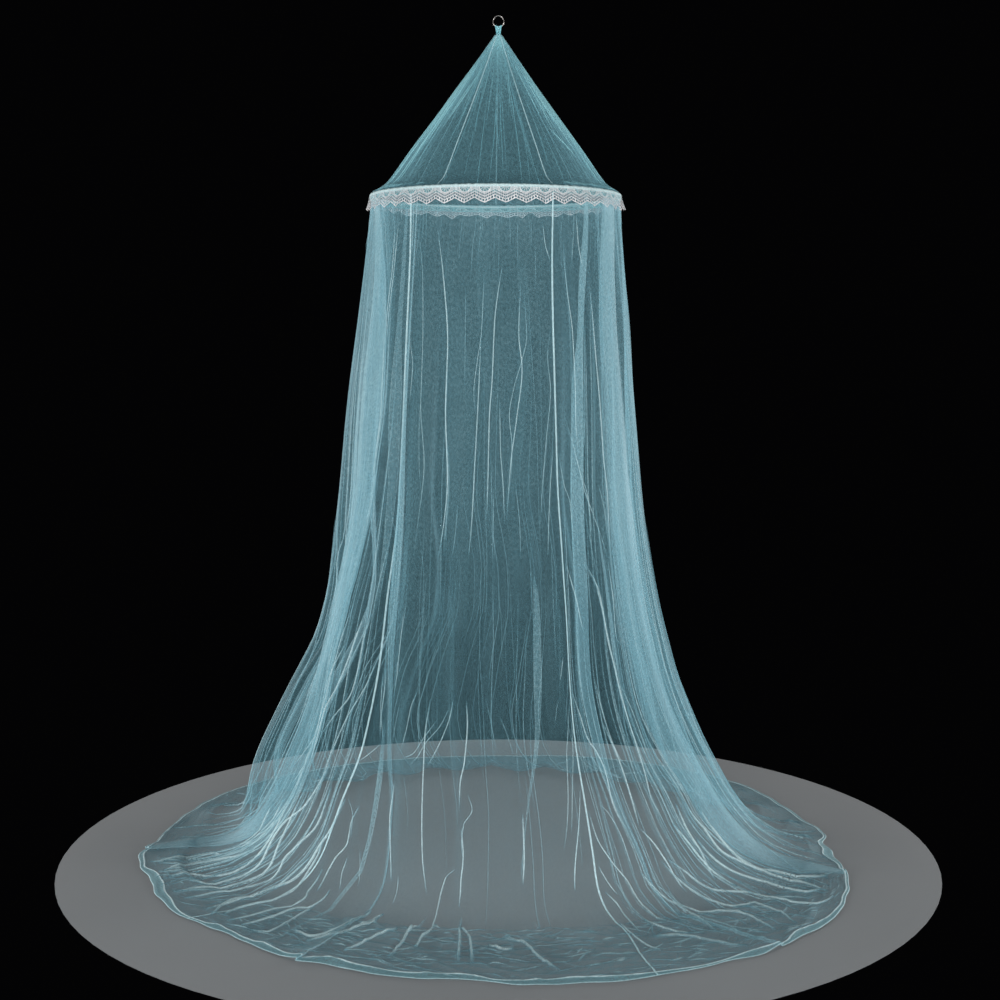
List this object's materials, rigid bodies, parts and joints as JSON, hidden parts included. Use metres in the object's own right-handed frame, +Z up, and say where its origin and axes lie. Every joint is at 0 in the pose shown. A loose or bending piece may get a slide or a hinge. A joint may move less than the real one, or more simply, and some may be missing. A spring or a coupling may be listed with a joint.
{
  "type": "mosquito net canopy with hoop",
  "caption": "Sheer cone-topped net canopy hung from one ring, spread by a hoop with lace trim, its flared wall pooling on the floor.",
  "frame": {"origin": "hanging point, at the top of the ring's hole where a hook bears; the floor is 2.042 m below it", "axes": "+Z up, -Y towards the front, where the two long seams show, +X to the right as seen from the front"},
  "size_m": [1.7276, 1.7272, 2.0454],
  "materials": {
    "net": "sheer knitted polyester netting, pale turquoise",
    "net_folded": "the same netting in several layers: folded, hemmed or bound",
    "lace": "white machine-made lace edging",
    "ring_steel": "darkened steel wire",
    "hoop_rod": "pale coated rod, seen only through its casing"
  },
  "bodies": {
    "root": {"hanging_ring": "ring_steel", "hanging_loop": "net_folded", "roof_gore_1": "net", "roof_gore_2": "net", "roof_gore_3": "net", "roof_gore_4": "net", "roof_gore_5": "net", "roof_gore_6": "net", "roof_gore_7": "net", "hoop": "hoop_rod", "hoop_casing": "net_folded", "lace_trim": "lace", "wall_front_panel": "net", "wall_main_panel": "net", "seam_tape_left": "net_folded", "seam_tape_right": "net_folded"}
  },
  "joints": []
}
